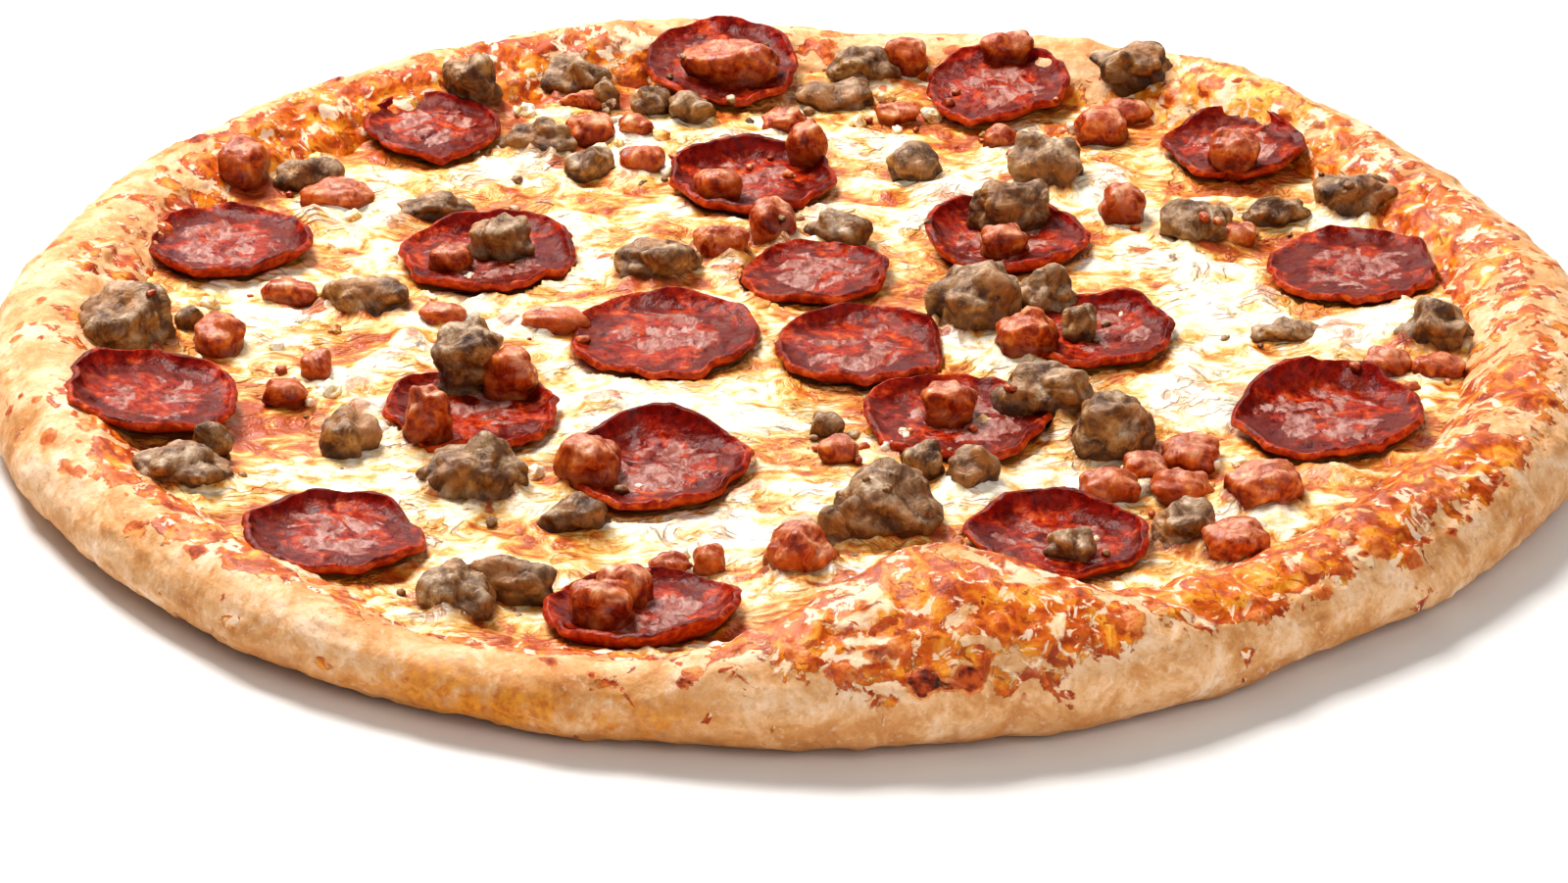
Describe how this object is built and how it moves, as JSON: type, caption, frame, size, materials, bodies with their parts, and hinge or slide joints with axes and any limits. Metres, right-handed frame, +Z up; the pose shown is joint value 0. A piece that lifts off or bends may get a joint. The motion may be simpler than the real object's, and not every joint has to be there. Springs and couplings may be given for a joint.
{
  "type": "meat pizza",
  "caption": "Whole round meat pizza: a puffed uneven crust, melted cheese, cupped pepperoni slices and chunks of sausage and ham.",
  "frame": {"origin": "middle of the flat underside of the crust", "axes": "+Z up out of the pizza; -Y is the front, the side nearest the viewer in the picture; +X to the right"},
  "size_m": [0.3591, 0.3553, 0.0306],
  "materials": {
    "crust": "baked dough, matte, pale gold with browned spots",
    "cheese": "melted cheese, satin and a little oily, cream with golden streaks",
    "pepperoni": "cured meat slice, deep red, greasy sheen",
    "sausage": "cooked sausage, grey brown, coarse",
    "ham": "fried ham, orange red, moist"
  },
  "bodies": {
    "root": {"cheese": "cheese", "crust": "crust", "ham_01": "ham", "ham_02": "ham", "ham_03": "ham", "ham_04": "ham", "ham_05": "ham", "ham_06": "ham", "ham_07": "ham", "ham_08": "ham", "ham_09": "ham", "ham_10": "ham", "ham_11": "ham", "ham_12": "ham", "ham_13": "ham", "pepperoni_01": "pepperoni", "pepperoni_02": "pepperoni", "pepperoni_03": "pepperoni", "pepperoni_04": "pepperoni", "pepperoni_05": "pepperoni", "pepperoni_06": "pepperoni", "pepperoni_07": "pepperoni", "pepperoni_08": "pepperoni", "pepperoni_09": "pepperoni", "pepperoni_10": "pepperoni", "pepperoni_11": "pepperoni", "pepperoni_12": "pepperoni", "pepperoni_13": "pepperoni", "pepperoni_14": "pepperoni", "pepperoni_15": "pepperoni", "pepperoni_16": "pepperoni", "pepperoni_17": "pepperoni", "pepperoni_18": "pepperoni", "pepperoni_19": "pepperoni", "pepperoni_20": "pepperoni", "pepperoni_21": "pepperoni", "sausage_01": "sausage", "sausage_02": "sausage", "sausage_03": "sausage", "sausage_04": "sausage", "sausage_05": "sausage", "sausage_06": "sausage", "sausage_07": "sausage", "sausage_08": "sausage", "sausage_09": "sausage", "sausage_10": "sausage", "sausage_11": "sausage", "sausage_12": "sausage", "sausage_13": "sausage", "sausage_14": "sausage", "sausage_15": "sausage", "sausage_16": "sausage", "sausage_17": "sausage", "sausage_18": "sausage", "sausage_19": "sausage", "sausage_20": "sausage", "sausage_21": "sausage", "sausage_22": "sausage", "sausage_23": "sausage", "sausage_24": "sausage"}
  },
  "joints": []
}
